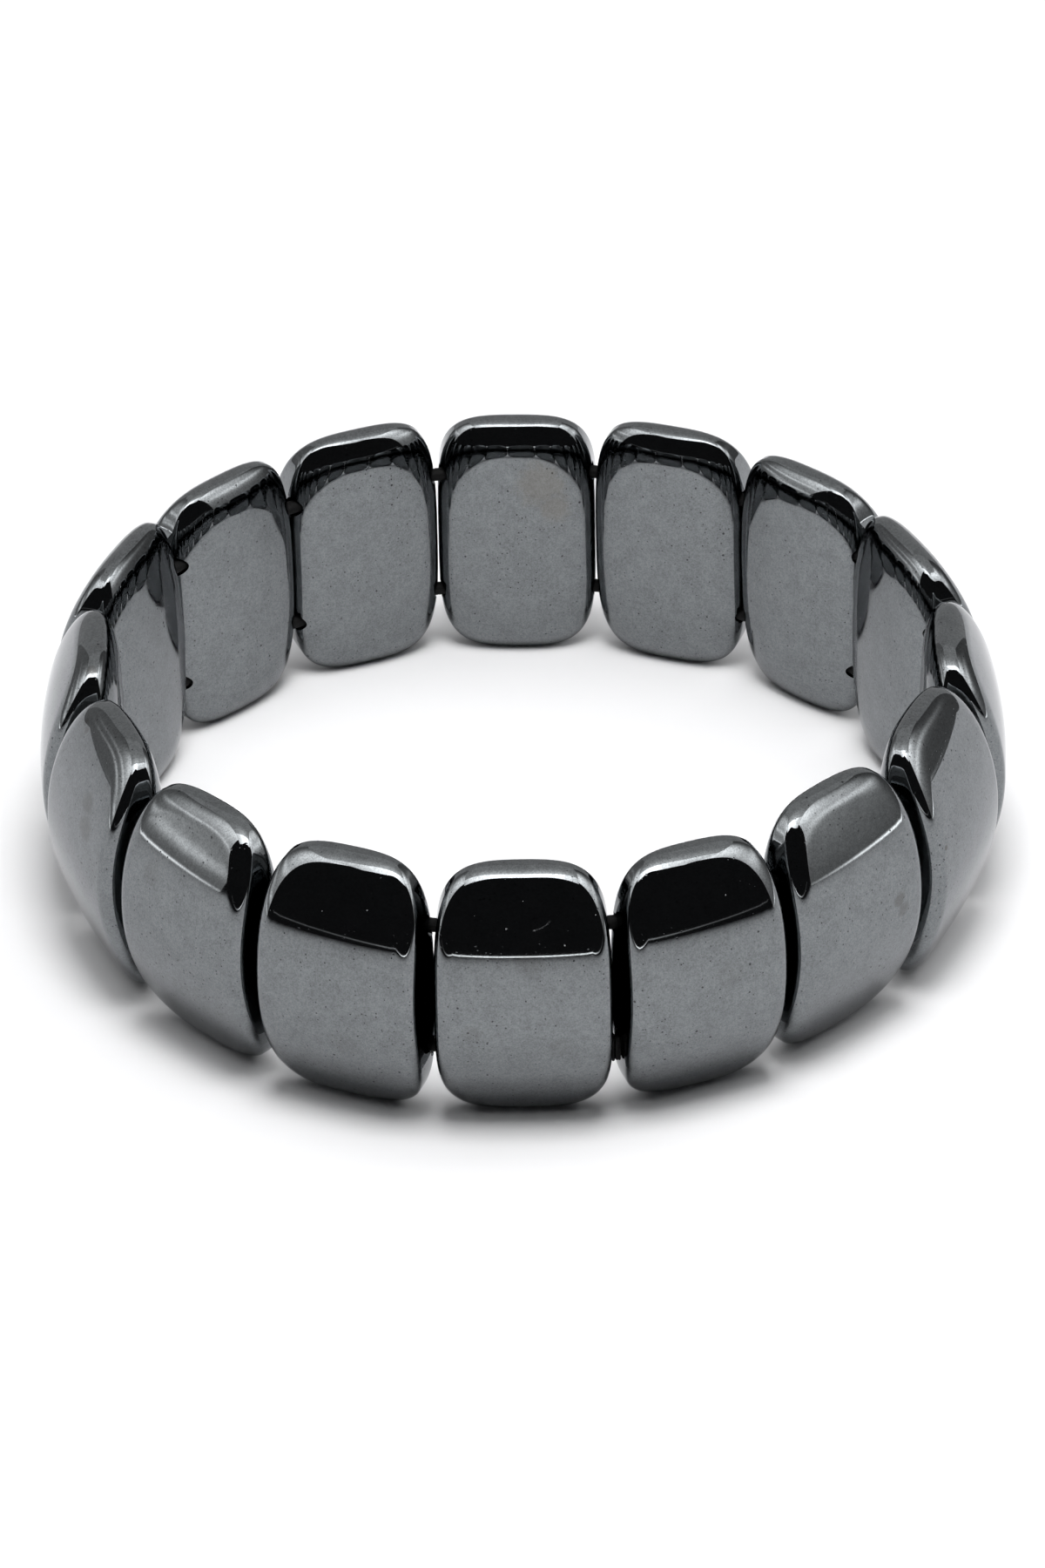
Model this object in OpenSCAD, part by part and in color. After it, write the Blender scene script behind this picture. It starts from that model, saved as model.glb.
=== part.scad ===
// Hematite bracelet: a closed ring of sixteen polished cushion stones, strung on two elastic cords.
// Each stone is a rounded slab with a domed outer face, a flatter inner face, straight sides
// and two holes through its width. The bracelet stands on the lower edges of its stones, and +Z is up.
// Stone 1 is at the front, towards -Y, and the others are counted anticlockwise, seen from above.

/* [Stone] */
// Width of a stone, along the ring, where it comes closest to its neighbours
stone_w = 11.85; // [11:0.05:13]
// Height of a stone, across the ring
stone_h = 20; // [19:0.1:22]
// Thickness of a stone in its middle
stone_t = 6.2; // [5.8:0.1:6.6]
// Width of the rounded rim round the outer face
rim_w = 1.1; // [0.9:0.1:1.4]
// Width of the rounded rim at the sides of the inner face
inner_rim_w = 1.6; // [1.2:0.1:2]
// Height of the rounded rim at the top and bottom of the inner face
inner_rim_h = 2.7; // [2:0.1:3.2]
// Radius of the outer face's dome from top to bottom
dome_tall_r = 15; // [15:1:20]
// Radius of the outer face's dome from side to side
dome_wide_r = 46; // [40:1:80]
// Radius of the inner face's dome from top to bottom
back_tall_r = 100; // [70:1:120]
// Radius of the inner face's dome from side to side
back_wide_r = 30; // [30:1:60]

/* [Stringing] */
// Gap between two plain stones, at the depth where they come closest
gap = 0.15; // [0.15:0.01:0.4]
// Diameter of the holes through a stone
hole_d = 1.5; // [1.4:0.05:1.6]
// Diameter of an elastic cord
cord_d = 1; // [0.8:0.05:1]
// Height of the lower holes
lower_hole_z = 5; // [4.5:0.1:5.5]
// Distance from the lower holes up to the upper ones
hole_spacing = 10; // [9:0.1:11]

/* [Hidden] */

// The stones are ground by hand, so no two are quite alike. One row for each stone, from stone 1 on:
// wider, taller, further out and further along the ring than the plain stone (mm),
// and how far it is turned about its height and leans out at its top (degrees)
STONES = [
    [0.15, 0.1, -0.2, -0.1, -0.2, 0.5],
    [-0.35, -0.05, -0.2, -0.15, -1.1, 1.4],
    [0.15, 0.15, -0.5, -0.1, -1.4, 0.4],
    [0, 0.05, 0.05, 0, -1.1, -1.5],
    [0.05, -0.3, 0.25, -0.05, -0.5, -0.5],
    [0.1, 0.15, -0.1, -0.05, 2, 0.3],
    [-0.05, 0.1, 0, -0.05, 2.3, -1.5],
    [-0.1, 0.1, -0.3, -0.1, 2.1, -1.2],
    [0, -0.4, -0.15, 0, -1.6, 1],
    [-0.05, -0.05, 0.1, -0.05, -0.9, 0.1],
    [0, 0.1, 0.15, -0.15, -1.2, 0.4],
    [0.1, 0.55, -0.05, -0.1, -0.8, 1.6],
    [0, 0.2, -0.1, -0.1, 1.2, -0.3],
    [0.1, 0.1, -0.05, 0, -0.5, -0.7],
    [0.1, -0.05, -0.1, 0.1, -0.6, 0.8],
    [-0.25, 0.15, 0.2, 0, 0.1, 0.3]
];
WIDER = 0;
TALLER = 1;
OUT = 2;
ALONG = 3;
TURNED = 4;
LEANING = 5;

// The ring runs through every stone at this share of its thickness, from the inner face
ring_share = 0.285;
stone_count = len(STONES);
stone_angle = 360 / stone_count;
ring_r = (stone_w + gap) / 2 / tan(stone_angle / 2);

// A stone is this much wider at its outer face than at its inner one, as a share of its width
taper = 0.033;
// How much of the thickness at a stone's top and bottom each rim rounds off, and how full the curve is
outer_rim_share = 0.38;
inner_rim_share = 0.45;
outer_rim_fullness = 2.3;
inner_rim_fullness = 2;
// Squareness of a stone's outline and of its two faces' outlines: 2 is an ellipse, more is squarer
outline_power = 4;
outer_face_power = 3.2;
inner_face_power = 2.7;

// Columns round a stone, and rows across its outer face, its inner face and each rim
column_count = 28;
outer_rows = 4;
inner_rows = 2;
rim_rows = 4;

// The holes lie this much further in than the ring. The stretched cords lie towards the inner side
// of the holes, with this clearance.
hole_inset = 0.05;
cord_clearance = 0.18;
hole_ring_r = ring_r - hole_inset;
cord_ring_r = hole_ring_r - (hole_d - cord_d) / 2 + cord_clearance;
upper_hole_z = lower_hole_z + hole_spacing;

// A cord bends over this length on each side of a gap, in a few steps
bend_length = 0.8;
bend_steps = 3;
cord_sides = 8;

// A power that keeps the sign, for the rounded squares
function signed_power(x, p) = sign(x) * pow(abs(x), p);

// A point of a rounded square with the half sizes a and b, at an angle
function rounded_square(a, b, p, angle) =
    [a * signed_power(cos(angle), 2 / p), b * signed_power(sin(angle), 2 / p)];

// How deep the outer and the inner face lie at the point p of a stone, from the middle of the inner face
function outer_depth(p) = stone_t - p.x * p.x / 2 / dome_wide_r - p.y * p.y / 2 / dome_tall_r;
function inner_depth(p) = p.x * p.x / 2 / back_wide_r + p.y * p.y / 2 / back_tall_r;

// The thickness at the top and bottom of a stone with the height h
function tip_t(h) = outer_depth([0, h / 2]) - inner_depth([0, h / 2]);

// The point p of a stone at a depth, with the ring at y = 0
function on_stone(p, depth) =
    [p.x * (1 + taper * (depth / stone_t - ring_share)), ring_share * stone_t - depth, p.y];

// The outline of a stone's edge, its outer face and its inner face
function edge(w, h, angle) = rounded_square(w / 2, h / 2, outline_power, angle);
function outer_face(w, h, angle) = rounded_square(w / 2 - rim_w, h / 2 - rim_w, outer_face_power, angle);
function inner_face(w, h, angle) =
    rounded_square(w / 2 - inner_rim_w, h / 2 - inner_rim_h, inner_face_power, angle);

// One row of points across a face, at the share s of the way from its middle to its rim
function outer_row(w, h, s) = [
    for (i = [0 : column_count - 1])
        let (p = s * outer_face(w, h, i * 360 / column_count))
        on_stone(p, outer_depth(p))
];
function inner_row(w, h, s) = [
    for (i = [0 : column_count - 1])
        let (p = s * inner_face(w, h, i * 360 / column_count))
        on_stone(p, inner_depth(p))
];

// One row of points across a rim. The bend runs from 0 at the face to 90 at the stone's side:
// the rim reaches out and leaves the face's dome along a quarter of a rounded square.
function reach(bend, fullness) = pow(sin(bend), 2 / fullness);
function outer_rim(w, h, bend) = [
    for (i = [0 : column_count - 1])
        let (
            angle = i * 360 / column_count,
            inside = outer_face(w, h, angle),
            p = inside + reach(bend, outer_rim_fullness) * (edge(w, h, angle) - inside),
            fall = 1 - reach(90 - bend, outer_rim_fullness)
        )
        on_stone(p, outer_depth(p) - outer_rim_share * tip_t(h) * fall)
];
function inner_rim(w, h, bend) = [
    for (i = [0 : column_count - 1])
        let (
            angle = i * 360 / column_count,
            inside = inner_face(w, h, angle),
            p = inside + reach(bend, inner_rim_fullness) * (edge(w, h, angle) - inside),
            fall = 1 - reach(90 - bend, inner_rim_fullness)
        )
        on_stone(p, inner_depth(p) + inner_rim_share * tip_t(h) * fall)
];

// The triangles between row j and the next row of points, with n points in each row
function band(j, next, n) = [
    for (i = [0 : n - 1])
        let (k = (i + 1) % n)
        each [[j * n + i, j * n + k, next * n + i], [next * n + i, j * n + k, next * n + k]]
];

// A whole stone without its holes: rows from the outer face's middle over its rim, straight across the side
// to the inner rim, and on to the inner face's middle
module cushion(w, h) {
    rows = [
        for (j = [1 : outer_rows - 1]) outer_row(w, h, j / outer_rows),
        for (j = [0 : rim_rows]) outer_rim(w, h, j * 90 / rim_rows),
        for (j = [rim_rows : -1 : 0]) inner_rim(w, h, j * 90 / rim_rows),
        for (j = [inner_rows - 1 : -1 : 1]) inner_row(w, h, j / inner_rows)
    ];
    last = len(rows) - 1;
    outer_middle = len(rows) * column_count;
    inner_middle = outer_middle + 1;
    points = concat(
        [for (row = rows) each row],
        [on_stone([0, 0], stone_t), on_stone([0, 0], 0)]
    );
    faces = [
        for (i = [0 : column_count - 1]) [outer_middle, (i + 1) % column_count, i],
        for (j = [0 : last - 1]) each band(j, j + 1, column_count),
        for (i = [0 : column_count - 1])
            [inner_middle, last * column_count + i, last * column_count + (i + 1) % column_count]
    ];
    polyhedron(points, faces);
}

// Stone number i, counted from 0, drilled for the two cords
module stone(i) {
    row = STONES[i];
    h = stone_h + row[TALLER];
    color([0.23, 0.24, 0.26])
    rotate([0, 0, i * stone_angle])
    difference() {
        translate([row[ALONG], -ring_r - row[OUT], h / 2])
            rotate([row[LEANING], 0, row[TURNED]])
            cushion(stone_w + row[WIDER], h);
        for (z = [lower_hole_z, upper_hole_z])
            translate([0, -hole_ring_r, z]) rotate([0, 90, 0])
            cylinder(d = hole_d, h = 2 * stone_w, center = true, $fn = 24);
    }
}

// The direction along the ring and the corner of the cord's route that follows the stone i
function along_ring(i) = [cos(i * stone_angle), sin(i * stone_angle), 0];
function corner(i, z) =
    let (r = cord_ring_r / cos(stone_angle / 2), angle = (i + 0.5) * stone_angle)
    [r * sin(angle), -r * cos(angle), z];

// The cord runs straight through each stone and rounds each corner between two stones
function cord_route(z) = [
    for (i = [0 : stone_count - 1], j = [0 : bend_steps])
        let (s = j / bend_steps)
        corner(i, z) + bend_length * (s * s * along_ring(i + 1) - (1 - s) * (1 - s) * along_ring(i))
];

// The points round a cord at the point p of its route
function cord_ring(p) = [
    for (k = [0 : cord_sides - 1])
        let (angle = (k + 0.5) * 360 / cord_sides, outwards = [p.x, p.y, 0] / norm([p.x, p.y]))
        p + cord_d / 2 * (cos(angle) * outwards + [0, 0, sin(angle)])
];

// A closed elastic cord at the height z
module cord(z) {
    route = cord_route(z);
    points = [for (p = route) each cord_ring(p)];
    faces = [for (j = [0 : len(route) - 1]) each band(j, (j + 1) % len(route), cord_sides)];
    color([0.05, 0.05, 0.05]) polyhedron(points, faces);
}

module cord_upper() {
    cord(upper_hole_z);
}

module cord_lower() {
    cord(lower_hole_z);
}

for (i = [0 : stone_count - 1]) stone(i);
cord_upper();
cord_lower();
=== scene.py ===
from math import cos, pi, radians, sin, tan
import bpy
import numpy as np
from mathutils import Matrix, Vector


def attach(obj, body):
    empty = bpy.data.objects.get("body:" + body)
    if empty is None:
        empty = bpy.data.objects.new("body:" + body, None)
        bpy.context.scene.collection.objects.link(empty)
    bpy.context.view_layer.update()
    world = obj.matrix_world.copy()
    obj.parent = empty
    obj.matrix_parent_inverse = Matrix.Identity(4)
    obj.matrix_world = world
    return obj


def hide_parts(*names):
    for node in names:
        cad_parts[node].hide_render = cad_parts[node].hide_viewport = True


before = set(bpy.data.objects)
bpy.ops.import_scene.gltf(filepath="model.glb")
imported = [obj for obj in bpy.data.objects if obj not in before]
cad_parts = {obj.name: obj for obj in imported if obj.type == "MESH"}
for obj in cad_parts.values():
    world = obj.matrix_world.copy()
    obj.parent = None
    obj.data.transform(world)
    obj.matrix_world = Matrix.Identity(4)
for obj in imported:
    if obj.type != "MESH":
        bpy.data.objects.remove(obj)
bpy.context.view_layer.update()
millimetre = 0.001

# The view: a long lens, looking down at the ring from the front
view = {
    "lens": 171.85,             # mm
    "sensor": 36,               # mm
    "distance": 539.73,         # mm from the aim point
    "lookingDown": 33.173,      # degrees
    "roll": 0.998,              # degrees
    "aimAcross": 0.092,         # mm
    "aimHeight": 6.775,         # mm
    "nearest": 0.01,            # m, where the view starts
}


def makeCamera():
    down = radians(view["lookingDown"])
    roll = radians(view["roll"])
    forward = Vector((0, cos(down), -sin(down)))
    across = Vector((1, 0, 0))
    upward = Vector((0, sin(down), cos(down)))
    aim = Vector((view["aimAcross"], 0, view["aimHeight"]))
    frameRight = across * cos(roll) - upward * sin(roll)
    frameTop = across * sin(roll) + upward * cos(roll)
    turned = Matrix((frameRight, frameTop, -forward)).transposed().to_4x4()
    turned.translation = (aim - view["distance"] * forward) * millimetre
    data = bpy.data.cameras.new("camera")
    data.lens = view["lens"]
    data.sensor_width = view["sensor"]
    data.clip_start = view["nearest"]
    camera = bpy.data.objects.new("camera", data)
    camera.matrix_world = turned
    bpy.context.scene.collection.objects.link(camera)
    bpy.context.scene.camera = camera


makeCamera()
print("camera set")


# Small helpers for node trees

def addNode(tree, kind, values=None, **settings):
    # A new node with its settings. Values go by the input's name or number: the output of another node is
    # linked to it, and anything else is set on it.
    node = tree.nodes.new(kind)
    for name, value in settings.items():
        setattr(node, name, value)
    for name, value in (values or {}).items():
        if isinstance(value, bpy.types.NodeSocket):
            tree.links.new(value, node.inputs[name])
        else:
            node.inputs[name].default_value = value
    return node


def mathNode(tree, operation, a, b=0.0, clamp=False):
    return addNode(tree, "ShaderNodeMath", {0: a, 1: b}, operation=operation, use_clamp=clamp).outputs[0]


def noiseNode(tree, where, scale, detail=1.0):
    values = {"Vector": where, "Scale": scale, "Detail": detail}
    return addNode(tree, "ShaderNodeTexNoise", values).outputs["Fac"]


def vectorNode(tree, operation, a, b=(0, 0, 0), output=0):
    return addNode(tree, "ShaderNodeVectorMath", {0: a, 1: b}, operation=operation).outputs[output]


def rangeNode(tree, value, low, high, toLow, toHigh):
    # Carries value smoothly from low..high over to toLow..toHigh and stops at both ends
    values = {"Value": value, "From Min": low, "From Max": high, "To Min": toLow, "To Max": toHigh}
    return addNode(tree, "ShaderNodeMapRange", values, interpolation_type="SMOOTHSTEP").outputs[0]


def mixColours(tree, mask, a, b):
    values = {"Factor": mask, "A": a, "B": b}
    return addNode(tree, "ShaderNodeMix", values, data_type="RGBA").outputs["Result"]


def newGroup(name, inputs, outputs):
    # An empty node group: inputs are (name, kind, default), outputs (name, kind)
    group = bpy.data.node_groups.new(name, "ShaderNodeTree")
    for label, kind, default in inputs:
        socket = group.interface.new_socket(name=label, in_out="INPUT", socket_type="NodeSocket" + kind)
        socket.default_value = default
    for label, kind in outputs:
        group.interface.new_socket(name=label, in_out="OUTPUT", socket_type="NodeSocket" + kind)
    return group, group.nodes.new("NodeGroupInput").outputs, group.nodes.new("NodeGroupOutput").inputs


def placeGroup(tree, group, values):
    return addNode(tree, "ShaderNodeGroup", values, node_tree=group).outputs


def newMaterial(name):
    material = bpy.data.materials.new(name)
    material.use_nodes = True
    tree = material.node_tree
    where = tree.nodes.new("ShaderNodeTexCoord").outputs["Object"]
    return material, tree, tree.nodes["Principled BSDF"], where


def makePitGroup():
    # Round pits: a cell pattern's distance from each cell's point, against the cell's own radius, which is
    # size * (chance + 0.35), with the edge soft from 0.45 of it on. A cell has a pit if its second chance is
    # below share + 4 * patches * (broad cloud - 0.5), so the pits come in patches.
    group, given, result = newGroup("roundPits", [
        ("Vector", "Vector", (0, 0, 0)), ("Scale", "Float", 1000.0), ("Size", "Float", 0.2),
        ("Share", "Float", 0.5), ("Patches", "Float", 0.5), ("Patch Scale", "Float", 150.0),
    ], [("Mask", "Float")])
    cells = addNode(group, "ShaderNodeTexVoronoi", {"Vector": given["Vector"], "Scale": given["Scale"]})
    chance = addNode(group, "ShaderNodeSeparateColor", {0: cells.outputs["Color"]}).outputs
    cloud = noiseNode(group, given["Vector"], given["Patch Scale"])
    lift = mathNode(group, "MULTIPLY", mathNode(group, "SUBTRACT", cloud, 0.5), given["Patches"])
    share = mathNode(group, "ADD", given["Share"], mathNode(group, "MULTIPLY", lift, 4.0))
    chosen = mathNode(group, "LESS_THAN", chance[0], share)
    radius = mathNode(group, "MULTIPLY", given["Size"], mathNode(group, "ADD", chance[1], 0.35))
    inner = mathNode(group, "MULTIPLY", radius, 0.45)
    spot = rangeNode(group, cells.outputs["Distance"], inner, radius, 1.0, 0.0)
    group.links.new(mathNode(group, "MULTIPLY", spot, chosen), result["Mask"])
    return group


def makeSpotGroup():
    # One soft spot round a centre: the distance to it over the radius, made ragged by a cloud. The spot is
    # full up to 0.45 and gone at 1.
    group, given, result = newGroup("softSpot", [
        ("Vector", "Vector", (0, 0, 0)), ("Centre", "Vector", (0, 0, 0)), ("Radius", "Float", 0.001),
        ("Ragged", "Float", 0.5), ("Rag Scale", "Float", 1400.0),
    ], [("Mask", "Float")])
    apart = vectorNode(group, "SUBTRACT", given["Vector"], given["Centre"])
    away = mathNode(group, "DIVIDE", vectorNode(group, "LENGTH", apart, output="Value"), given["Radius"])
    cloud = noiseNode(group, given["Vector"], given["Rag Scale"], 3.0)
    edge = mathNode(group, "MULTIPLY", mathNode(group, "SUBTRACT", cloud, 0.5), given["Ragged"])
    ragged = mathNode(group, "ADD", away, edge)
    group.links.new(rangeNode(group, ragged, 0.45, 1.0, 1.0, 0.0), result["Mask"])
    return group


def makeLineGroup():
    # A hair-thin scratch from a start to an end: the distance to the nearest point of that stretch. It is
    # full up to 0.3 of its width and gone at its width.
    group, given, result = newGroup("hairScratch", [
        ("Vector", "Vector", (0, 0, 0)), ("Start", "Vector", (0, 0, 0)), ("End", "Vector", (0.001, 0, 0)),
        ("Width", "Float", 0.00009),
    ], [("Mask", "Float")])
    along = vectorNode(group, "SUBTRACT", given["End"], given["Start"])
    apart = vectorNode(group, "SUBTRACT", given["Vector"], given["Start"])
    ahead = vectorNode(group, "DOT_PRODUCT", apart, along, output="Value")
    whole = vectorNode(group, "DOT_PRODUCT", along, along, output="Value")
    share = mathNode(group, "DIVIDE", ahead, whole, clamp=True)
    scaled = addNode(group, "ShaderNodeVectorMath", {0: along, "Scale": share}, operation="SCALE")
    across = vectorNode(group, "SUBTRACT", apart, scaled.outputs[0])
    away = vectorNode(group, "LENGTH", across, output="Value")
    half = mathNode(group, "MULTIPLY", given["Width"], 0.3)
    group.links.new(rangeNode(group, away, half, given["Width"], 1.0, 0.0), result["Mask"])
    return group


def makeGlowGroup():
    # A soft glow round a centre: exp(-(x^2 + y^2 + z^2)), with each distance over its own spread
    group, given, result = newGroup("softGlow", [
        ("Vector", "Vector", (0, 0, 0)), ("Centre", "Vector", (0, 0, 0)), ("Spread", "Vector", (1, 1, 1)),
    ], [("Mask", "Float")])
    apart = vectorNode(group, "SUBTRACT", given["Vector"], given["Centre"])
    scaled = vectorNode(group, "DIVIDE", apart, given["Spread"])
    square = vectorNode(group, "DOT_PRODUCT", scaled, scaled, output="Value")
    fading = mathNode(group, "EXPONENT", mathNode(group, "MULTIPLY", square, -1.0))
    group.links.new(fading, result["Mask"])
    return group


roundPits = makePitGroup()
softSpot = makeSpotGroup()
hairScratch = makeLineGroup()
softGlow = makeGlowGroup()

# The stones: the sizes are the CAD stones' own, in mm. The rows and columns make the surface finer.
stones = {
    "width": 11.85, "height": 20, "thickness": 6.2, "taper": 0.033,
    "rim": 1.1, "innerRimWidth": 1.6, "innerRimHeight": 2.7,
    "domeTall": 15, "domeWide": 46, "backTall": 100, "backWide": 30,    # radii of the two faces' domes
    "gap": 0.15, "ringShare": 0.285, "outerRimShare": 0.38, "innerRimShare": 0.45,
    "outerFullness": 2.3, "innerFullness": 2,
    "outlinePower": 4, "outerFacePower": 3.2, "innerFacePower": 2.7,
    "hole": 1.5, "lowerHole": 5, "holeSpacing": 10, "holeInset": 0.05,
    "columns": 176, "faceRows": 14, "rimRows": 22, "wallRows": 3, "holeSides": 40,
    "outlineSteps": 40001,      # points of the fine outline that the columns are spread on
    "sharpFrom": 50,            # degrees, so that the holes' edges stay crisp
}
# One row for each stone from the front one on, anticlockwise: wider, taller, further out and further along
# (mm), turned about its height and leaning out at its top (degrees)
handGround = np.array([
    [0.15, 0.1, -0.2, -0.1, -0.2, 0.5],
    [-0.35, -0.05, -0.2, -0.15, -1.1, 1.4],
    [0.15, 0.15, -0.5, -0.1, -1.4, 0.4],
    [0, 0.05, 0.05, 0, -1.1, -1.5],
    [0.05, -0.3, 0.25, -0.05, -0.5, -0.5],
    [0.1, 0.15, -0.1, -0.05, 2, 0.3],
    [-0.05, 0.1, 0, -0.05, 2.3, -1.5],
    [-0.1, 0.1, -0.3, -0.1, 2.1, -1.2],
    [0, -0.4, -0.15, 0, -1.6, 1],
    [-0.05, -0.05, 0.1, -0.05, -0.9, 0.1],
    [0, 0.1, 0.15, -0.15, -1.2, 0.4],
    [0.1, 0.55, -0.05, -0.1, -0.8, 1.6],
    [0, 0.2, -0.1, -0.1, 1.2, -0.3],
    [0.1, 0.1, -0.05, 0, -0.5, -0.7],
    [0.1, -0.05, -0.1, 0.1, -0.6, 0.8],
    [-0.25, 0.15, 0.2, 0, 0.1, 0.3],
])
stoneCount = len(handGround)
stoneAngle = 2 * pi / stoneCount
ringRadius = (stones["width"] + stones["gap"]) / 2 / tan(stoneAngle / 2)
holeRadius = ringRadius - stones["holeInset"]


def signedPower(x, power):
    return np.sign(x) * np.abs(x) ** power


def roundedSquare(halfWidth, halfHeight, power, angle):
    # |x / halfWidth| ^ power + |z / halfHeight| ^ power = 1
    x = halfWidth * signedPower(np.cos(angle), 2 / power)
    z = halfHeight * signedPower(np.sin(angle), 2 / power)
    return np.stack([x, z], -1)


def outerDepth(p):
    # The outer face's dome: thickness - x^2 / (2 * wide radius) - z^2 / (2 * tall radius)
    bow = p[..., 0] ** 2 / stones["domeWide"] + p[..., 1] ** 2 / stones["domeTall"]
    return stones["thickness"] - bow / 2


def innerDepth(p):
    # The inner face's dome: x^2 / (2 * wide radius) + z^2 / (2 * tall radius)
    return (p[..., 0] ** 2 / stones["backWide"] + p[..., 1] ** 2 / stones["backTall"]) / 2


def evenAngles(width, height):
    # Outline angles that lie evenly along the stone's edge, found by length on a fine outline
    fine = np.linspace(0, 2 * pi, stones["outlineSteps"])
    outline = roundedSquare(width / 2, height / 2, stones["outlinePower"], fine)
    length = np.concatenate([[0], np.cumsum(np.linalg.norm(np.diff(outline, axis=0), axis=1))])
    return np.interp(np.arange(stones["columns"]) / stones["columns"] * length[-1], length, fine)


def faceAndRim(inside, edge, fullness):
    # Points of a face and its rim: share * inside + reach * (edge - inside), with the reach
    # sin(bend) ^ (2 / fullness). The rim has fallen by 1 - cos(bend) ^ (2 / fullness).
    faceRows, rimRows = stones["faceRows"], stones["rimRows"]
    share = np.concatenate([np.linspace(0, 1, faceRows + 1)[1:], np.ones(rimRows)])
    bend = np.concatenate([np.zeros(faceRows), np.linspace(0, pi / 2, rimRows + 1)[1:]])
    reach = np.sin(bend) ** (2 / fullness)
    fall = 1 - np.clip(np.cos(bend), 0, 1) ** (2 / fullness)
    return share[:, None, None] * inside + reach[:, None, None] * (edge - inside), fall[:, None]


def cushionPoints(width, height):
    # Rows from the outer face's middle over its rim, straight across the side to the inner rim, and on to
    # the inner face's middle, with columns round the outline. A rim falls from its dome by a share of the
    # thickness at the stone's tip.
    angle = evenAngles(width, height)
    edge = roundedSquare(width / 2, height / 2, stones["outlinePower"], angle)
    outerFace = roundedSquare(width / 2 - stones["rim"], height / 2 - stones["rim"],
                              stones["outerFacePower"], angle)
    innerFace = roundedSquare(width / 2 - stones["innerRimWidth"], height / 2 - stones["innerRimHeight"],
                              stones["innerFacePower"], angle)
    tip = np.array([0, height / 2])
    tipThickness = outerDepth(tip) - innerDepth(tip)
    outer, outerFall = faceAndRim(outerFace, edge, stones["outerFullness"])
    inner, innerFall = faceAndRim(innerFace, edge, stones["innerFullness"])
    outerRows = outerDepth(outer) - stones["outerRimShare"] * tipThickness * outerFall
    innerRows = innerDepth(inner) + stones["innerRimShare"] * tipThickness * innerFall
    across = np.linspace(0, 1, stones["wallRows"] + 2)[1:-1, None]
    wallRows = outerRows[-1] + across * (innerRows[-1] - outerRows[-1])
    wall = np.repeat(edge[None], stones["wallRows"], axis=0)
    depth = np.concatenate([outerRows, wallRows, innerRows[::-1]])
    p = np.concatenate([outer, wall, inner[::-1]])
    wedge = 1 + stones["taper"] * (depth / stones["thickness"] - stones["ringShare"])
    rows = np.stack([p[..., 0] * wedge, stones["ringShare"] * stones["thickness"] - depth, p[..., 1]], -1)
    middles = np.array([[0, (stones["ringShare"] - 1) * stones["thickness"], 0],
                        [0, stones["ringShare"] * stones["thickness"], 0]])
    return rows, middles


def turnAbout(points, axis, angle):
    return points @ np.array(Matrix.Rotation(angle, 3, axis)).T


def placeOnRing(points, number):
    # Leans and turns a stone's points, moves them out and along, and turns them to the stone's place
    _, taller, out, along, turned, leaning = handGround[number]
    points = turnAbout(turnAbout(points, "X", radians(leaning)), "Z", radians(turned))
    points = points + np.array([along, -ringRadius - out, (stones["height"] + taller) / 2])
    return turnAbout(points, "Z", number * stoneAngle)


def ringFaces(rows, columns, closedRows=False):
    # Quads between rows of points that close on themselves round the columns
    count = rows if closedRows else rows - 1
    j, i = np.meshgrid(np.arange(count), np.arange(columns), indexing="ij")
    nextRow = (j + 1) % rows
    nextColumn = (i + 1) % columns
    quads = np.stack([j * columns + i, nextRow * columns + i, nextRow * columns + nextColumn,
                      j * columns + nextColumn], -1)
    return quads.reshape(-1, 4)


def meshObject(name, points, faces):
    mesh = bpy.data.meshes.new(name)
    mesh.from_pydata((points * millimetre).tolist(), [], faces)
    mesh.shade_smooth()
    piece = bpy.data.objects.new(name, mesh)
    bpy.context.scene.collection.objects.link(piece)
    return piece


def makeCushion(name, number):
    wider, taller = handGround[number, :2]
    rows, middles = cushionPoints(stones["width"] + wider, stones["height"] + taller)
    rowCount, columns = rows.shape[:2]
    points = placeOnRing(np.concatenate([rows.reshape(-1, 3), middles]), number)
    column = np.arange(columns)
    ahead = (column + 1) % columns
    last = (rowCount - 1) * columns
    first = np.stack([np.full(columns, rowCount * columns), column, ahead], -1)
    final = np.stack([np.full(columns, rowCount * columns + 1), last + ahead, last + column], -1)
    faces = ringFaces(rowCount, columns).tolist() + first.tolist() + final.tolist()
    return meshObject(name, points, faces)


def makeDrill(number):
    # The two straight holes of a stone, as rods: a circle carried along the cord's line
    turn = np.arange(stones["holeSides"]) * 2 * pi / stones["holeSides"]
    circle = np.stack([0 * turn, stones["hole"] / 2 * np.cos(turn), stones["hole"] / 2 * np.sin(turn)], -1)
    points = []
    faces = []
    for height in (stones["lowerHole"], stones["lowerHole"] + stones["holeSpacing"]):
        start = len(points) * stones["holeSides"]
        for x in (-stones["width"], stones["width"]):
            points.append(circle + np.array([x, -holeRadius, height]))
        faces += (ringFaces(2, stones["holeSides"])[:, ::-1] + start).tolist()
        faces.append((start + np.arange(stones["holeSides"])[::-1]).tolist())
        faces.append((start + stones["holeSides"] + np.arange(stones["holeSides"])).tolist())
    points = turnAbout(np.concatenate(points), "Z", number * stoneAngle)
    return meshObject("drill", points, faces)


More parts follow.
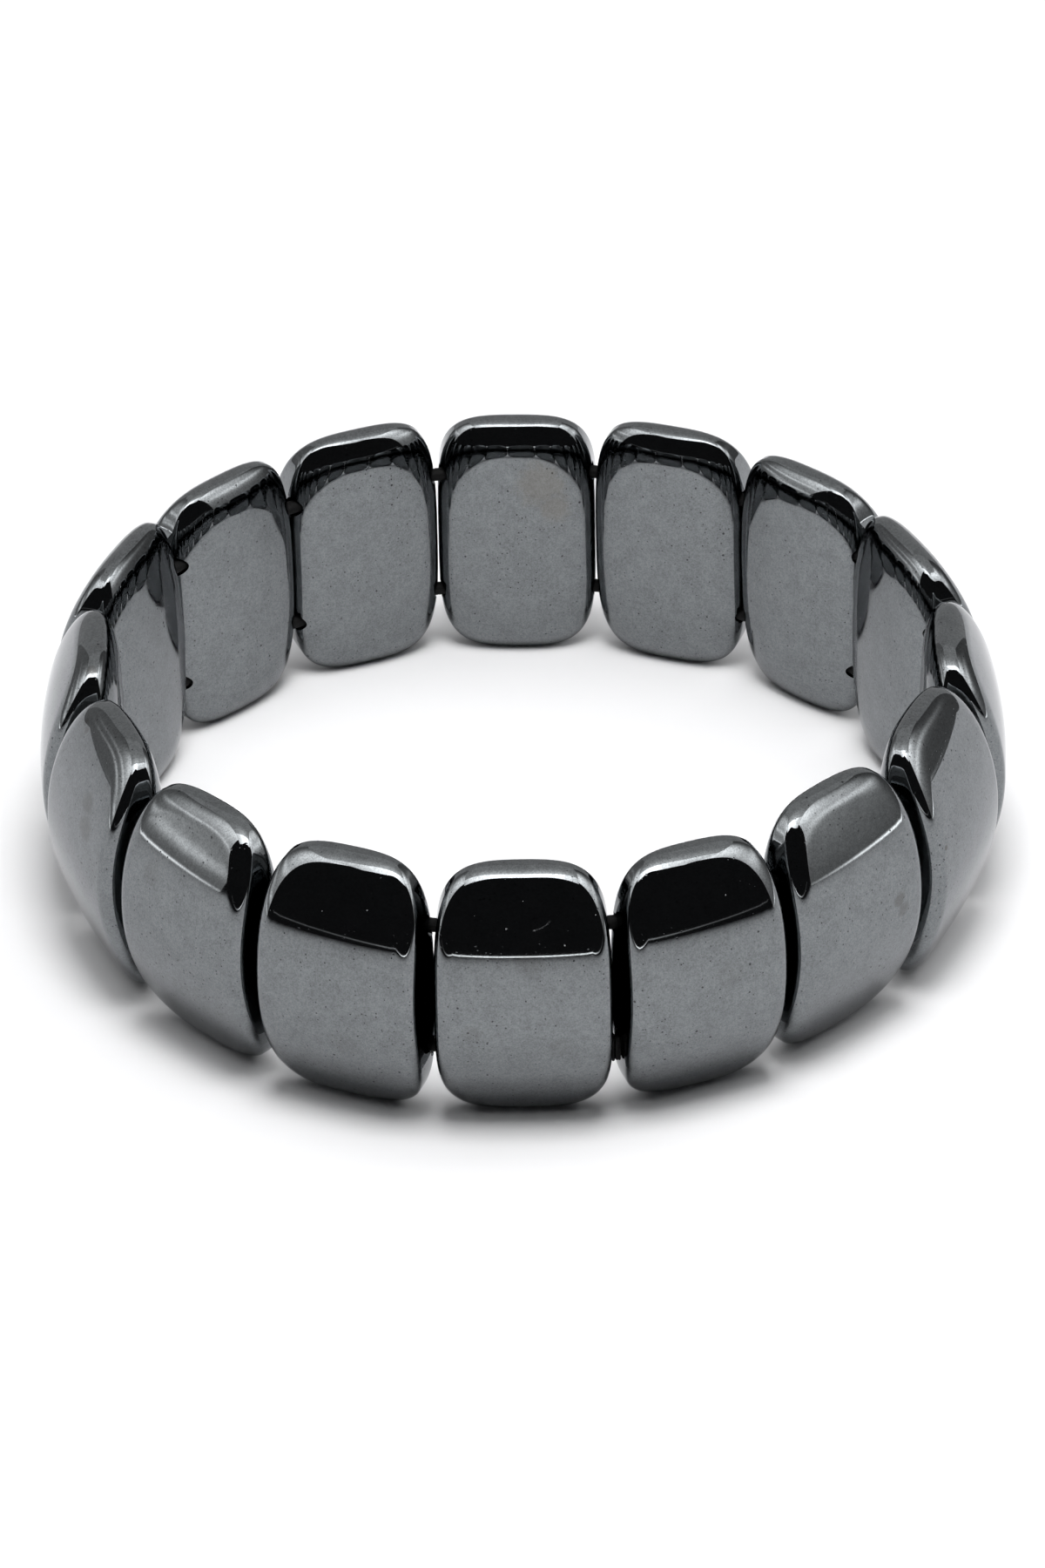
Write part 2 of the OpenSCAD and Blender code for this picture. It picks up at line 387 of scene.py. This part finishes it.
def drillStone(piece, number):
    drill = makeDrill(number)
    cut = piece.modifiers.new("holes", "BOOLEAN")
    cut.object = drill
    cut.operation = "DIFFERENCE"
    cut.solver = "EXACT"
    depsgraph = bpy.context.evaluated_depsgraph_get()
    drilled = bpy.data.meshes.new_from_object(piece.evaluated_get(depsgraph))
    piece.modifiers.clear()
    piece.data = drilled
    drilled.set_sharp_from_angle(angle=radians(stones["sharpFrom"]))
    bpy.data.objects.remove(drill)


# The polish: hematite is a dark mirror with fine pits, a little haze and some marks of wear
hematiteLook = {
    "colour": (0.213, 0.225, 0.232, 1),
    "pitColour": (0.05, 0.052, 0.055, 1),
    "smudgeColour": (0.1, 0.098, 0.095, 1),
    "stainColour": (0.17, 0.15, 0.125, 1),
    "hairColour": (0.55, 0.56, 0.57, 1),
    "grazing": (0.86, 0.86, 0.87, 1),       # it mirrors less at a low angle than a plain metal does
    "roughness": 0.035, "pitRoughness": 0.22, "paleRoughness": 0.5,
    "pitDepth": 0.000003,       # m
    "hairStrength": 0.45,
    # Cells a metre, a pit's size in its cell, the share of cells with a pit, how much that grows in pitted
    # areas and in patches, patches a metre, strength
    "pits": [
        (3000.0, 0.2, 0.45, 0.6, 0.4, 260.0, 0.75),
        (1500.0, 0.14, 0.15, 1.6, 0.3, 120.0, 1.0),
    ],
    # Scale and detail of a noise, the range of it that darkens the stone, and by how much
    "grain": [
        (9000.0, 1.0, 0.3, 0.75, 0.3),
        (3500.0, 1.0, 0.3, 0.7, 0.14),
        (700.0, 3.0, 0.3, 0.7, 0.12),
    ],
    "ragged": {"smudges": 0.9, "stains": 0.9, "nicks": 0.5, "dots": 0.3},
}
# The marks of single stones, in mm from the stone's middle. Smudges, stains, nicks and dots are
# ((across, height), radius, strength), pitted areas ((across, height), radius) and hairs (start, end).
# A height over the face's own is on the rim.
outerMarks = {
    0: {
        "hairs": [((0.75, 6.46), (1.25, 6.6)), ((1.25, 6.6), (1.65, 6.8)), ((1.65, 6.8), (1.9, 7.03))],
        "dots": [((-1.06, 6.61), 0.09, 1), ((2.87, 5.45), 0.08, 1), ((0.1, 8.3), 0.05, 1),
                 ((5.0, 7.2), 0.06, 1), ((-3.2, 7.4), 0.04, 1)],
        "smudges": [((0.5, 4.4), 1.3, 0.25), ((-3.6, -1.2), 0.9, 0.2), ((2.6, -2.4), 1.1, 0.2)],
    },
    1: {
        "dots": [((1.5, 7.1), 0.07, 1)],
        "smudges": [((1.2, 1.5), 1.4, 0.14)],
        "pitted": [((-4.5, -3), 3)],
    },
    2: {
        "smudges": [((3.1, 1.0), 0.7, 0.6), ((3.5, 0.0), 0.75, 0.5)],
        "pitted": [((0, -6), 3)],
    },
    3: {
        "smudges": [((-4.27, 9.12), 0.45, 0.7), ((-4.91, 2.28), 0.28, 1.0)],
        "pitted": [((-5.4, 1.5), 3.5), ((-4.6, -3.5), 3)],
    },
    11: {"smudges": [((3.81, 9.43), 0.5, 0.6)]},
    12: {
        "smudges": [((4.01, 9.4), 0.5, 0.6)],
        "pitted": [((3.5, 3), 3)],
    },
    13: {
        "smudges": [((1.9, 5.2), 1.0, 0.5), ((2.4, 3.6), 1.1, 0.45),
                    ((-2.9, 8.8), 0.4, 0.5), ((-2.3, 8.5), 0.35, 0.5)],
        "pitted": [((4.6, -1), 3.5), ((4.2, -5), 3)],
    },
    14: {
        "smudges": [((-2.5, 4.5), 1.2, 0.2)],
        "pitted": [((1, -3), 3.5)],
    },
    15: {
        "dots": [((2.2, 7.2), 0.07, 1), ((-1, 6.6), 0.05, 1)],
        "smudges": [((0.8, -3.5), 1.3, 0.15)],
        "pitted": [((2.5, -4.5), 3)],
    },
}
innerMarks = {
    8: {"stains": [((-1.9, 5.0), 2.3, 0.35), ((-2.9, 3.0), 1.5, 0.35)]},
    11: {"nicks": [((-5.1, -4.4), 0.35, 0.9)]},
}


def surfacePoint(number, place, inner=False):
    # The point at (across, height) on a stone's outer or inner half, in metres in the scene: the plane
    # through the nine nearest points of the surface gives its depth
    wider, taller = handGround[number, :2]
    rows, _ = cushionPoints(stones["width"] + wider, stones["height"] + taller)
    half = len(rows) // 2
    points = (rows[half:] if inner else rows[:half]).reshape(-1, 3)
    apart = points[:, [0, 2]] - np.array(place)
    near = np.argsort((apart ** 2).sum(1))[:9]
    plane = np.concatenate([np.ones((len(near), 1)), apart[near]], axis=1)
    depth = np.linalg.lstsq(plane, points[near, 1], rcond=None)[0][0]
    return tuple(placeOnRing(np.array([[place[0], depth, place[1]]]), number)[0] * millimetre)


def spotMask(tree, where, number, kind, inner=False):
    # All spots of one kind on a stone: the greatest of their masks, each times its strength
    marks = (innerMarks if inner else outerMarks).get(number, {}).get(kind, [])
    total = 0.0
    for place, radius, strength in marks:
        values = {"Vector": where, "Centre": surfacePoint(number, place, inner),
                  "Radius": radius * millimetre, "Ragged": hematiteLook["ragged"][kind]}
        spot = placeGroup(tree, softSpot, values)["Mask"]
        total = mathNode(tree, "MAXIMUM", mathNode(tree, "MULTIPLY", spot, strength), total)
    return total


def hairMask(tree, where, number):
    total = 0.0
    for start, end in outerMarks.get(number, {}).get("hairs", []):
        values = {"Vector": where, "Start": surfacePoint(number, start), "End": surfacePoint(number, end)}
        total = mathNode(tree, "MAXIMUM", placeGroup(tree, hairScratch, values)["Mask"], total)
    return mathNode(tree, "MULTIPLY", total, hematiteLook["hairStrength"])


def pittedArea(tree, where, number):
    # Fades softly from 1 in each pitted area to 0
    total = 0.0
    for place, radius in outerMarks.get(number, {}).get("pitted", []):
        spread = (radius * millimetre,) * 3
        values = {"Vector": where, "Centre": surfacePoint(number, place), "Spread": spread}
        total = mathNode(tree, "MAXIMUM", placeGroup(tree, softGlow, values)["Mask"], total)
    return total


def pitMask(tree, where, area):
    # Fine and coarser pits together: the sum of their masks, each times its strength
    total = 0.0
    for scale, size, share, inAreas, patches, patchScale, strength in hematiteLook["pits"]:
        share = mathNode(tree, "ADD", mathNode(tree, "MULTIPLY", area, inAreas), share)
        values = {"Vector": where, "Scale": scale, "Size": size, "Share": share, "Patches": patches,
                  "Patch Scale": patchScale}
        spots = mathNode(tree, "MULTIPLY", placeGroup(tree, roundPits, values)["Mask"], strength)
        total = mathNode(tree, "ADD", spots, total, clamp=True)
    return total


def makeHematite(number):
    material, tree, shader, where = newMaterial("hematite_%02d" % (number + 1))
    pits = pitMask(tree, where, pittedArea(tree, where, number))
    dark = pits
    for scale, detail, low, high, strength in hematiteLook["grain"]:
        shade = rangeNode(tree, noiseNode(tree, where, scale, detail), low, high, 0.0, strength)
        dark = mathNode(tree, "ADD", shade, dark, clamp=True)
    colour = mixColours(tree, dark, hematiteLook["colour"], hematiteLook["pitColour"])
    smudges = spotMask(tree, where, number, "smudges")
    smudges = mathNode(tree, "MAXIMUM", spotMask(tree, where, number, "nicks", inner=True), smudges)
    colour = mixColours(tree, smudges, colour, hematiteLook["smudgeColour"])
    stains = spotMask(tree, where, number, "stains", inner=True)
    colour = mixColours(tree, stains, colour, hematiteLook["stainColour"])
    pale = mathNode(tree, "MAXIMUM", hairMask(tree, where, number), spotMask(tree, where, number, "dots"))
    colour = mixColours(tree, pale, colour, hematiteLook["hairColour"])
    tree.links.new(colour, shader.inputs["Base Color"])
    rough = rangeNode(tree, pits, 0.0, 1.0, hematiteLook["roughness"], hematiteLook["pitRoughness"])
    paleRough = mathNode(tree, "MULTIPLY", pale, hematiteLook["paleRoughness"])
    tree.links.new(mathNode(tree, "ADD", rough, paleRough), shader.inputs["Roughness"])
    shader.inputs["Metallic"].default_value = 1.0
    shader.inputs["Specular Tint"].default_value = hematiteLook["grazing"]
    flat = mathNode(tree, "SUBTRACT", 1.0, pits)
    bump = addNode(tree, "ShaderNodeBump", {"Height": flat, "Distance": hematiteLook["pitDepth"]})
    tree.links.new(bump.outputs[0], shader.inputs["Normal"])
    return material


for number in range(stoneCount):
    nodeName = "stone_%02d" % (number + 1)
    stone = makeCushion("polished_" + nodeName, number)
    drillStone(stone, number)
    stone.data.materials.append(makeHematite(number))
    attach(stone, "root")
    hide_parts(nodeName)
print("stones made:", stoneCount)

# The elastic: two closed cords of black braid, straight through each stone and bent between two (mm)
cords = {
    "diameter": 1.0, "clearance": 0.18, "bend": 0.8, "bendPoints": 9, "step": 0.13, "sides": 24,
    "strands": 8,           # each way
    "crossing": 0.62,       # length of cord for one crossing
    "relief": 0.12,         # share of the radius
    "underpass": 0.4,       # how far a strand sinks where it goes under, as a share of its height
    "colours": ((0.002, 0.002, 0.002, 1), (0.007, 0.007, 0.007, 1)),
    "roughness": (0.5, 0.75), "specular": 0.15,
    "fuzzScale": 14000.0, "fuzzDetail": 2.0, "fuzzRange": (0.2, 0.8),
    "fuzzDepth": 0.00002,       # m
}
# Stretched, the cords lie towards the inner side of their holes
cordRadius = holeRadius - (stones["hole"] - cords["diameter"]) / 2 + cords["clearance"]


def cordRoute():
    # Corners on the ring between the stones. Near a corner the route is corner + bend * (s^2 * next
    # direction - (1 - s)^2 * last direction), with s from 0 to 1, and it is straight between two bends.
    corner = (np.arange(stoneCount) + 0.5) * stoneAngle
    turn = np.arange(stoneCount) * stoneAngle
    s = np.linspace(0, 1, cords["bendPoints"])[None, :, None]
    radius = cordRadius / cos(stoneAngle / 2)
    middle = radius * np.stack([np.sin(corner), -np.cos(corner)], -1)[:, None]
    last = np.stack([np.cos(turn), np.sin(turn)], -1)[:, None]
    following = np.roll(last, -1, axis=0)
    bent = (middle + cords["bend"] * (s ** 2 * following - (1 - s) ** 2 * last)).reshape(-1, 2)
    closed = np.concatenate([bent, bent[:1]])
    length = np.concatenate([[0], np.cumsum(np.linalg.norm(np.diff(closed, axis=0), axis=1))])
    count = int(length[-1] / cords["step"])
    even = np.arange(count) / count * length[-1]
    route = np.stack([np.interp(even, length, closed[:, k]) for k in range(2)], -1)
    return route, even, length[-1]


def makeCord(name, height):
    # A tube round the route. Its radius follows two sets of strands that wind against each other: each is
    # as high as the size of a sine of the turn plus or minus the way along, and goes over and under in turn.
    route, even, total = cordRoute()
    ahead = np.roll(route, -1, axis=0) - np.roll(route, 1, axis=0)
    ahead /= np.linalg.norm(ahead, axis=1)[:, None]
    outwards = np.stack([ahead[:, 1], -ahead[:, 0]], -1)
    turn = (np.arange(cords["sides"]) * 2 * pi / cords["sides"])[None, :]
    crossings = round(total / cords["crossing"])
    wind = (even / total * 2 * pi * crossings)[:, None]
    strandTurn = cords["strands"] * turn / 2
    one = np.abs(np.sin(strandTurn + wind / 2))
    other = np.abs(np.sin(strandTurn - wind / 2))
    over = 0.5 + 0.5 * np.sin(cords["strands"] * turn) * np.sin(wind)
    sunk = cords["underpass"]
    braid = np.maximum(one * (1 - sunk + sunk * over), other * (1 - sunk * over))
    radius = cords["diameter"] / 2 * (1 - cords["relief"] * (1 - braid))
    x = route[:, None, 0] + radius * np.cos(turn) * outwards[:, None, 0]
    y = route[:, None, 1] + radius * np.cos(turn) * outwards[:, None, 1]
    z = height + radius * np.sin(turn) + 0 * x
    points = np.stack([x, y, z], -1)
    faces = ringFaces(len(route), cords["sides"], closedRows=True)
    return meshObject(name, points.reshape(-1, 3), faces.tolist())


def makeElastic():
    material, tree, shader, where = newMaterial("blackElastic")
    fuzz = noiseNode(tree, where, cords["fuzzScale"], cords["fuzzDetail"])
    tree.links.new(mixColours(tree, fuzz, *cords["colours"]), shader.inputs["Base Color"])
    rough = rangeNode(tree, fuzz, *cords["fuzzRange"], *cords["roughness"])
    tree.links.new(rough, shader.inputs["Roughness"])
    shader.inputs["Specular IOR Level"].default_value = cords["specular"]
    bump = addNode(tree, "ShaderNodeBump", {"Height": fuzz, "Distance": cords["fuzzDepth"]})
    tree.links.new(bump.outputs[0], shader.inputs["Normal"])
    return material


blackElastic = makeElastic()
for nodeName, height in (("cord_lower", stones["lowerHole"]),
                         ("cord_upper", stones["lowerHole"] + stones["holeSpacing"])):
    cord = makeCord("braided_" + nodeName, height)
    cord.data.materials.append(blackElastic)
    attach(cord, "root")
    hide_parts(nodeName)
print("cords made")

# The elastic's cut ends: short dark stubs in the gap after the front stone, outside the lower cord. Each is
# (along the gap's width, away from the ring's middle, top, bottom, radius), in mm.
cutEnds = {
    "gap": 0.5,             # in stones from the front one
    "rows": 30, "sides": 20,
    "rough": 0.16,          # bulges, as a share of the radius
    "slant": 0.25,          # unevenness of the cut, as a share of the radius
    "tip": 0.15,            # the cut face, as a share of the rod's cross-section
    "stubs": [
        (-0.2, 31.75, 6.3, 4.3, 0.14),
        (0.03, 31.95, 6.4, 4.5, 0.15),
        (0.22, 31.8, 6.2, 4.35, 0.12),
    ],
}


def makeStub(name, along, away, top, bottom, radius):
    # A rod that bulges a little: radius * (1 + rough * waves of the height and the turn), with blunt tips
    share = np.linspace(0, 1, cutEnds["rows"])[:, None]
    turn = (np.arange(cutEnds["sides"]) * 2 * pi / cutEnds["sides"])[None, :]
    waves = np.sin(19 * share + 3 * turn) * np.cos(5 * turn + 7 * share)
    blunt = np.clip(1 - (2 * share - 1) ** 16, cutEnds["tip"], 1) ** 0.5
    wide = radius * (1 + cutEnds["rough"] * waves) * blunt
    x = along + wide * np.cos(turn)
    y = -away + wide * np.sin(turn)
    z = top + (bottom - top) * share + cutEnds["slant"] * radius * np.sin(4 * turn) * share
    points = np.stack([x, y, z], -1).reshape(-1, 3)
    faces = ringFaces(cutEnds["rows"], cutEnds["sides"]).tolist()
    last = (cutEnds["rows"] - 1) * cutEnds["sides"]
    faces.append(list(range(cutEnds["sides"])))
    faces.append([last + k for k in reversed(range(cutEnds["sides"]))])
    return meshObject(name, turnAbout(points, "Z", cutEnds["gap"] * stoneAngle), faces)


for number, size in enumerate(cutEnds["stubs"]):
    stub = makeStub("cut_end_%d" % (number + 1), *size)
    stub.data.materials.append(blackElastic)
    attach(stub, "root")
print("cut ends made")

# The studio: a white tent that is open to the front, on pale paper that runs far out of it. The cloth
# glows where the lamps outside shine on it, so each wall has a base strength and soft spots: centre,
# spread, strength. Sizes in m.
studio = {
    "halfWidth": 0.32, "back": 0.42, "height": 0.5,
    "leftFront": (-0.1, -0.26), "rightFront": (-0.14, -0.275),      # a side wall's front, foot and top
    "floorWidth": 1.2, "floorFront": -0.75,
    "floorColour": (0.86, 0.86, 0.87, 1), "floorRoughness": 0.6, "floorSpecular": 0.1,
    "beyondWidth": 3.0, "beyondBelow": 0.0004,      # more paper under the first, which is seen alone
    "leftBase": 0.3,
    "leftSpots": [
        ((-0.32, -0.1, 0.36), (1, 0.17, 0.22), 2.8),
        ((-0.32, -0.25, 0.5), (1, 0.12, 0.12), 2.5),
        ((-0.32, 0.06, 0.066), (1, 0.09, 0.014), 1.3),
        ((-0.32, -0.05, 0.042), (1, 0.07, 0.012), 1.6),
        ((-0.32, -0.02, 0.15), (1, 0.16, 0.018), 1.3),
        ((-0.32, -0.02, 0.004), (1, 0.075, 0.0025), 4.0),
    ],
    "rightBase": 0.17,
    "rightSpots": [
        ((0.32, -0.1, 0.42), (1, 0.18, 0.24), 3.8),
        ((0.32, -0.27, 0.5), (1, 0.12, 0.12), 2.0),
        ((0.32, -0.01, 0.165), (1, 0.16, 0.04), 1.7),
        ((0.32, -0.02, 0.004), (1, 0.075, 0.0025), 6.0),
    ],
    "backBase": 0.55, "backSpots": [],
    "ceilingBase": 0.7,
    "ceilingSpots": [((0, -0.2, 0.5), (0.3, 0.15, 1), 1.8)],
    "openingDepth": -0.275, "openingBow": 0.05, "openingSpread": 0.13,      # the ceiling's bowed front edge
    "lampBack": -0.15, "lampBelow": 0.005, "lampBase": 0.5,
    "lampSpots": [((0, -0.2, 0.5), (0.3, 1, 1), 6.5)],
    "overhead": [((0, -0.03), 0.3, 1.65), ((0.018, -0.09), 0.09, 17.5)],      # centre, half size, strength
    "sideAway": 0.31, "sideReach": (0.04, 0.4), "sideLeft": 1.0, "sideRight": 2.2,
    # The table's far edge, a painted highlight: a glowing strip that the camera doesn't see
    "stripSpread": 0.3, "stripHeight": 0.008, "stripLift": 0.008, "stripRise": 0.06,
    "stripBase": 0.35, "stripStrength": 5.0,
    "edgePoints": 41,
    "roomColour": (0.02, 0.02, 0.021, 1), "skyColour": (1, 1, 1, 1),
}


def stageSurface(name, corners, faces, seenByCamera):
    mesh = bpy.data.meshes.new(name)
    mesh.from_pydata(corners, [], faces)
    piece = bpy.data.objects.new(name, mesh)
    bpy.context.scene.collection.objects.link(piece)
    piece.visible_camera = seenByCamera
    return piece


def stagePlane(name, corners, seenByCamera=False):
    return stageSurface(name, corners, [(0, 1, 2, 3)], seenByCamera)


def glowing(name, base, spots):
    # Light of a base strength with soft spots
    material, tree, shader, where = newMaterial(name)
    tree.nodes.remove(shader)
    strength = base
    for centre, spread, peak in spots:
        mask = placeGroup(tree, softGlow, {"Vector": where, "Centre": centre, "Spread": spread})["Mask"]
        strength = mathNode(tree, "ADD", mathNode(tree, "MULTIPLY", mask, peak), strength)
    glow = addNode(tree, "ShaderNodeEmission", {"Strength": strength})
    tree.links.new(glow.outputs[0], tree.nodes["Material Output"].inputs[0])
    return material


def makeFloor():
    material, tree, shader, where = newMaterial("paper")
    shader.inputs["Base Color"].default_value = studio["floorColour"]
    shader.inputs["Roughness"].default_value = studio["floorRoughness"]
    shader.inputs["Specular IOR Level"].default_value = studio["floorSpecular"]
    w, f, b = studio["floorWidth"], studio["floorFront"], studio["back"]
    floor = stagePlane("floor", [(-w, f, 0), (w, f, 0), (w, b, 0), (-w, b, 0)], True)
    w, z = studio["beyondWidth"], -studio["beyondBelow"]
    beyond = stagePlane("floorBeyond", [(-w, -w, z), (w, -w, z), (w, w, z), (-w, w, z)], True)
    beyond.visible_glossy = False
    beyond.visible_diffuse = False
    beyond.visible_shadow = False
    for piece in (floor, beyond):
        piece.data.materials.append(material)


def edgeBand(name, first, second):
    # A band between two edges with the same number of points
    points = np.concatenate([np.stack(first, -1), np.stack(second, -1)])
    return stageSurface(name, points.tolist(), ringFaces(2, len(first[0]))[:-1].tolist(), False)


def ceilingPart(name, back, height):
    # From the opening's edge to a line further back. The edge lies at
    # depth - bow * (1 - exp(-(x / spread)^2)).
    x = np.linspace(-1, 1, studio["edgePoints"]) * studio["halfWidth"]
    bow = studio["openingBow"] * (1 - np.exp(-(x / studio["openingSpread"]) ** 2))
    z = np.full_like(x, height)
    return edgeBand(name, (x, studio["openingDepth"] - bow, z), (x, np.full_like(x, back), z))


def makeTent():
    w, b, h = studio["halfWidth"], studio["back"], studio["height"]
    left, right = studio["leftFront"], studio["rightFront"]
    walls = {
        "left": stagePlane("tent_left", [(-w, left[0], 0), (-w, b, 0), (-w, b, h), (-w, left[1], h)]),
        "right": stagePlane("tent_right", [(w, right[0], 0), (w, right[1], h), (w, b, h), (w, b, 0)]),
        "back": stagePlane("tent_back", [(-w, b, 0), (w, b, 0), (w, b, h), (-w, b, h)]),
        "ceiling": ceilingPart("tent_ceiling", b, h),
        "lamp": ceilingPart("lamp", studio["lampBack"], h - studio["lampBelow"]),
    }
    for name, wall in walls.items():
        wall.data.materials.append(glowing("cloth_" + name, studio[name + "Base"], studio[name + "Spots"]))
        wall.visible_diffuse = False


def lightPanel(name, corners, strength):
    # A panel that lights the paper alone: the stones don't mirror it
    panel = stagePlane(name, corners)
    panel.visible_glossy = False
    panel.data.materials.append(glowing(name + "Face", strength, []))


def makeLights():
    for number, ((x, y), half, strength) in enumerate(studio["overhead"]):
        z = studio["height"] - (number + 2) * studio["lampBelow"]
        lightPanel("overhead_%d" % number, [(x - half, y - half, z), (x - half, y + half, z),
                                            (x + half, y + half, z), (x + half, y - half, z)], strength)
    near, far = studio["sideReach"]
    top = studio["height"]
    for name, x in (("sideLeft", -studio["sideAway"]), ("sideRight", studio["sideAway"])):
        lightPanel(name, [(x, near, 0), (x, far, 0), (x, far, top), (x, near, top)], studio[name])


def makeStrip():
    # The far edge of the table, painted as light: a glowing band at height lift + rise * x^2, brightest in
    # its middle, standing in for the highlight that the edge catches
    x = np.linspace(-1, 1, studio["edgePoints"]) * studio["floorWidth"]
    y = np.full_like(x, studio["floorFront"])
    low = studio["stripLift"] + studio["stripRise"] * x ** 2
    strip = edgeBand("strip", (x, y, low), (x, y, low + studio["stripHeight"]))
    spot = ((0, studio["floorFront"], 0), (studio["stripSpread"], 1, 1), studio["stripStrength"])
    strip.data.materials.append(glowing("stripFace", studio["stripBase"], [spot]))


def makeWorld():
    # Dark round the tent, but white to the camera itself
    world = bpy.data.worlds.new("room")
    bpy.context.scene.world = world
    world.use_nodes = True
    tree = world.node_tree
    dark = tree.nodes["Background"]
    dark.inputs["Color"].default_value = studio["roomColour"]
    white = addNode(tree, "ShaderNodeBackground", {"Color": studio["skyColour"]})
    seen = tree.nodes.new("ShaderNodeLightPath").outputs["Is Camera Ray"]
    both = addNode(tree, "ShaderNodeMixShader", {0: seen, 1: dark.outputs[0], 2: white.outputs[0]})
    tree.links.new(both.outputs[0], tree.nodes["World Output"].inputs[0])
    bpy.context.scene.view_settings.view_transform = "Standard"


makeFloor()
makeTent()
makeLights()
makeStrip()
makeWorld()
print("studio made")
